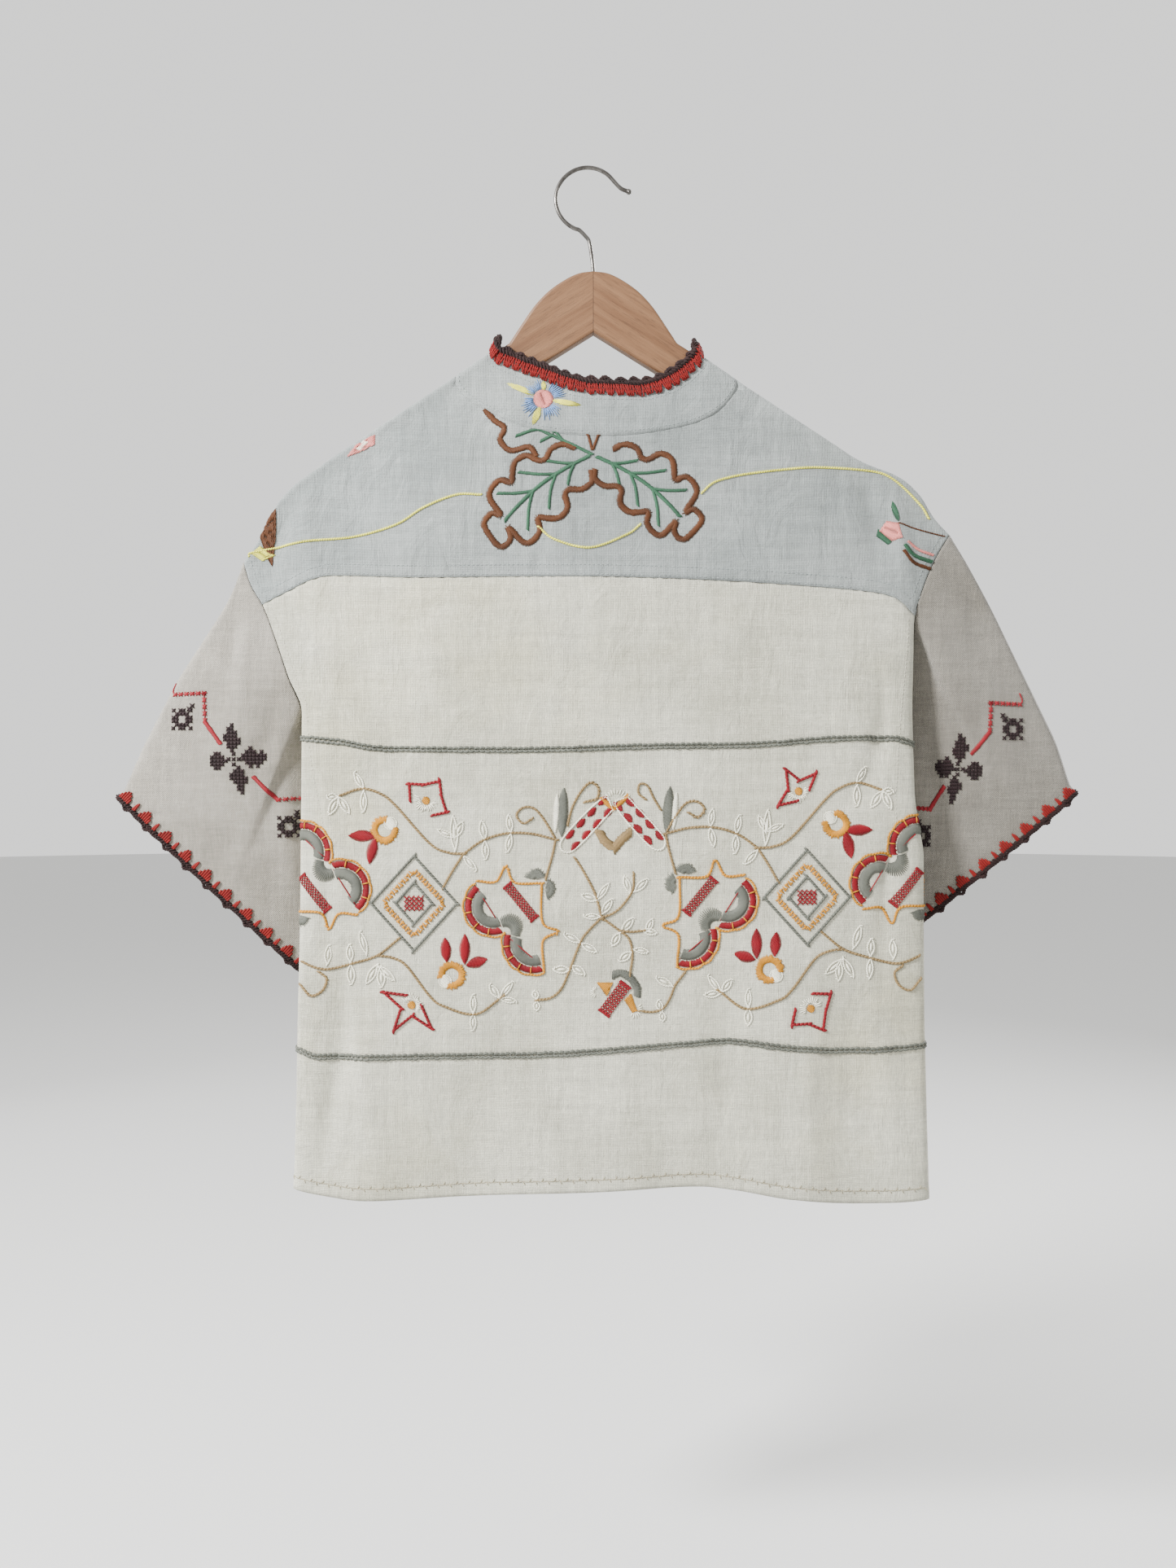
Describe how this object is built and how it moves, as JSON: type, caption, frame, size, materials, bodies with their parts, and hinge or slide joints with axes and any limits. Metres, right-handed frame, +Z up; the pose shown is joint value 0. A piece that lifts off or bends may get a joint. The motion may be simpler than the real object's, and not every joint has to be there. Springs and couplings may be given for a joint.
{
  "type": "embroidered linen top on a hanger",
  "caption": "Short-sleeved embroidered linen top with a stand collar and crochet edgings, hanging flat and buttoned on a flat wooden hanger with a wire hook.",
  "frame": {"origin": "inside top of the hanger's hook, where a nail, rail or peg holds it", "axes": "+Z up, -Y out of the garment's back (the side that faces the viewer), +X to the right as one faces the back"},
  "size_m": [0.8391, 0.0748, 0.896],
  "materials": {
    "cream_linen": "plain woven linen, washed, slightly yellowed",
    "blue_linen": "plain woven pale blue-grey linen",
    "greige_linen": "coarser greige linen, matt",
    "crochet_cotton": "crocheted cotton, red with dark brown edge",
    "beech": "clear satin lacquer",
    "wire": "polished chrome plating",
    "buttons": "pale shell effect"
  },
  "bodies": {
    "root": {"back": "cream_linen", "yoke": "blue_linen", "front_left": "cream_linen", "front_right": "cream_linen", "front_band": "cream_linen", "collar_band": "blue_linen", "neck_edging": "crochet_cotton", "sleeve_left": "greige_linen", "sleeve_right": "greige_linen", "cuff_edging_left": "crochet_cotton", "cuff_edging_right": "crochet_cotton", "button_1": "buttons", "button_2": "buttons", "button_3": "buttons", "button_4": "buttons", "button_5": "buttons", "button_6": "buttons", "hanger_wood": "beech", "hook": "wire"}
  },
  "joints": []
}
